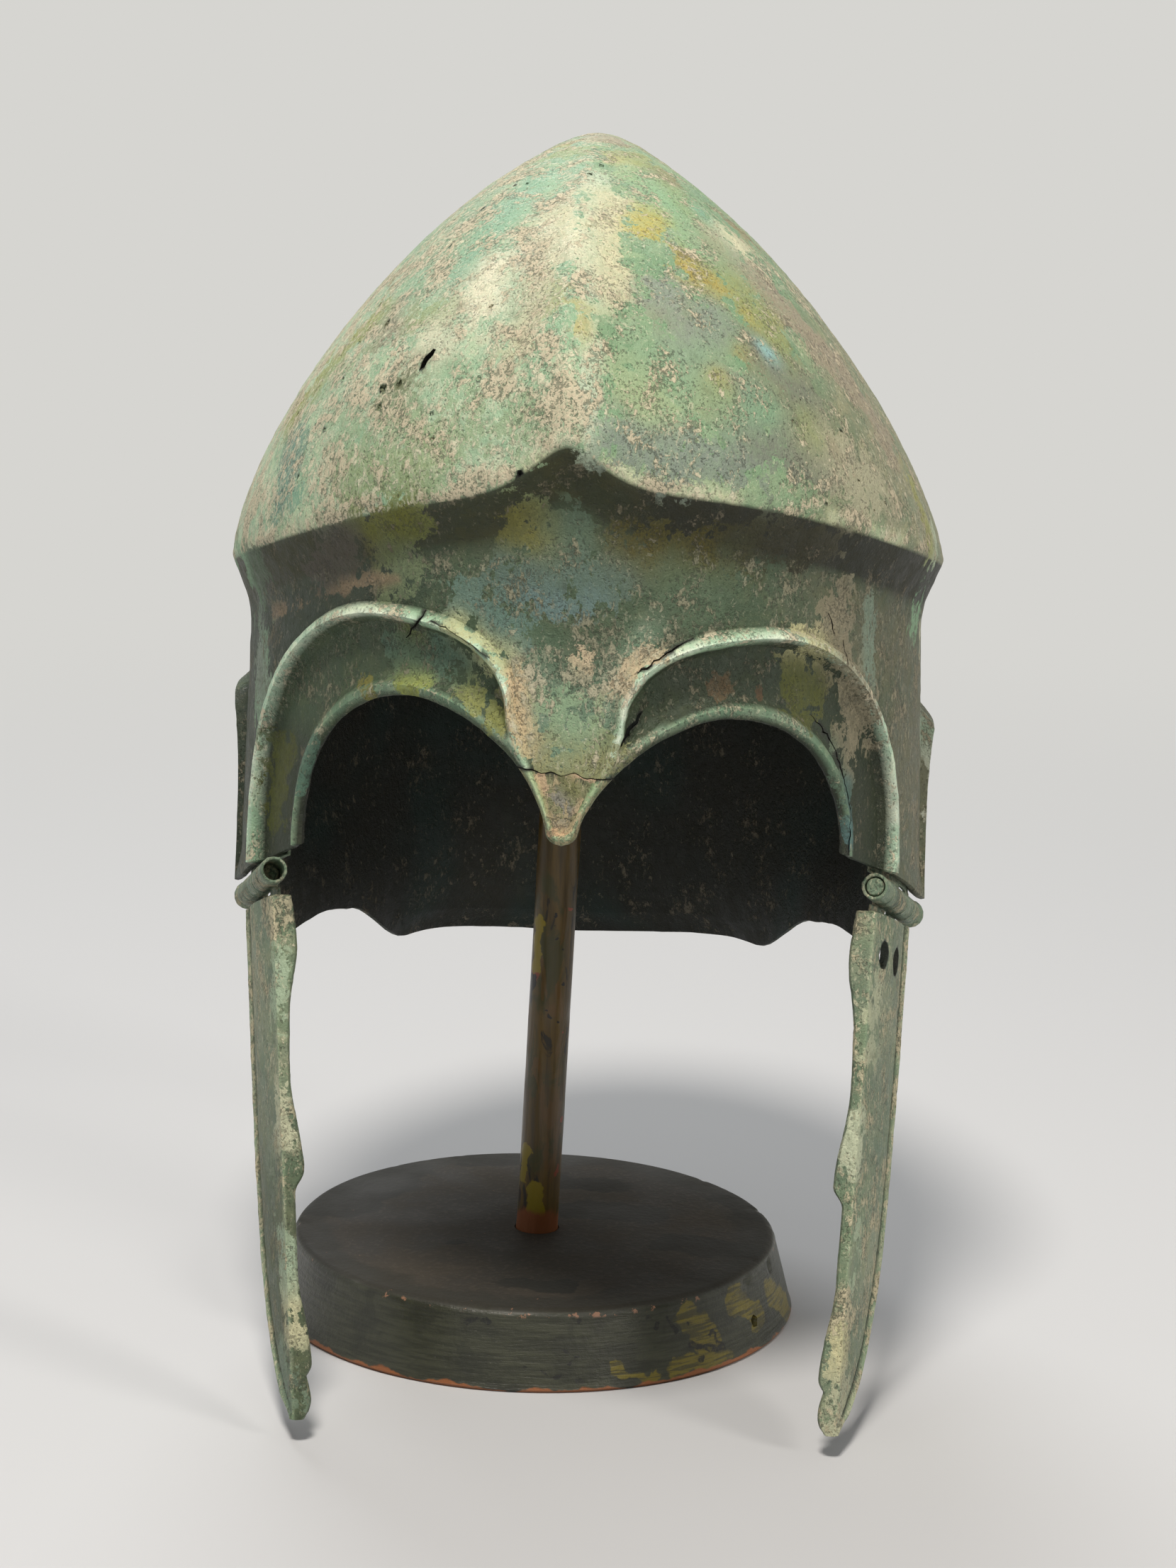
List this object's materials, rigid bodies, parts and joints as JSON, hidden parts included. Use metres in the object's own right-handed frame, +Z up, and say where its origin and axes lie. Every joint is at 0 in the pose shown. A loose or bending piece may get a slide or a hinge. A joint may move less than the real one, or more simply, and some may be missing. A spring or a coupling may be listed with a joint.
{
  "type": "chalcidian helmet on display stand",
  "caption": "Open-faced bronze helmet with arched brow ridge, nasal and hinged cheekpieces that swing, resting lift-off on a rod stand with a round wooden foot.",
  "frame": {"origin": "centre of the stand disc's underside, where the object rests", "axes": "+Z up, the helmet faces -Y, +X is to the wearer's left"},
  "size_m": [0.1943, 0.2335, 0.335],
  "materials": {
    "painted_wood": "worn dark olive paint over wood",
    "varnished_wood": "brown-olive varnish",
    "felt": "matte felt",
    "bowl_bronze": "bronze under a rough pale green and blue-green patina",
    "nasal_bronze": "bronze under a rough grey-green patina",
    "hinge_bronze": "bronze under a dull dark green patina",
    "pin_bronze": "bronze under a dull dark green patina",
    "cheek_bronze": "bronze under a rough grey-green patina with cream crust"
  },
  "bodies": {
    "stand": {"stand_disc": "painted_wood", "stand_rod": "varnished_wood", "rod_head": "varnished_wood", "felt_pad": "felt"},
    "helmet": {"bowl": "bowl_bronze", "nasal_tip": "nasal_bronze", "hinge_leaf_left": "hinge_bronze", "hinge_leaf_right": "hinge_bronze", "hinge_pin_left": "pin_bronze", "hinge_pin_right": "pin_bronze", "rivet_helmet_left_1": "pin_bronze", "rivet_helmet_left_2": "pin_bronze", "rivet_helmet_right_1": "pin_bronze", "rivet_helmet_right_2": "pin_bronze"},
    "cheek_left": {"cheekpiece_left": "cheek_bronze", "cheek_leaf_left": "hinge_bronze", "rivet_cheek_left_1": "pin_bronze", "rivet_cheek_left_2": "pin_bronze"},
    "cheek_right": {"cheekpiece_right": "cheek_bronze", "cheek_leaf_right": "hinge_bronze", "rivet_cheek_right_1": "pin_bronze", "rivet_cheek_right_2": "pin_bronze"}
  },
  "joints": [
    {"name": "helmet_lift", "type": "slide", "parent": "stand", "child": "helmet", "axis": [0, 0, 1], "range_m": [0, 0.35]},
    {"name": "cheek_left_swing", "type": "hinge", "parent": "helmet", "child": "cheek_left", "pos_m": [0.08846, -0.079, 0.14603], "axis": [0.266, 0.887, -0.3775], "range_deg": [-110, 20]},
    {"name": "cheek_right_swing", "type": "hinge", "parent": "helmet", "child": "cheek_right", "pos_m": [-0.06952, -0.079, 0.14603], "axis": [-0.227, 0.8961, -0.3814], "range_deg": [-20, 110]}
  ]
}
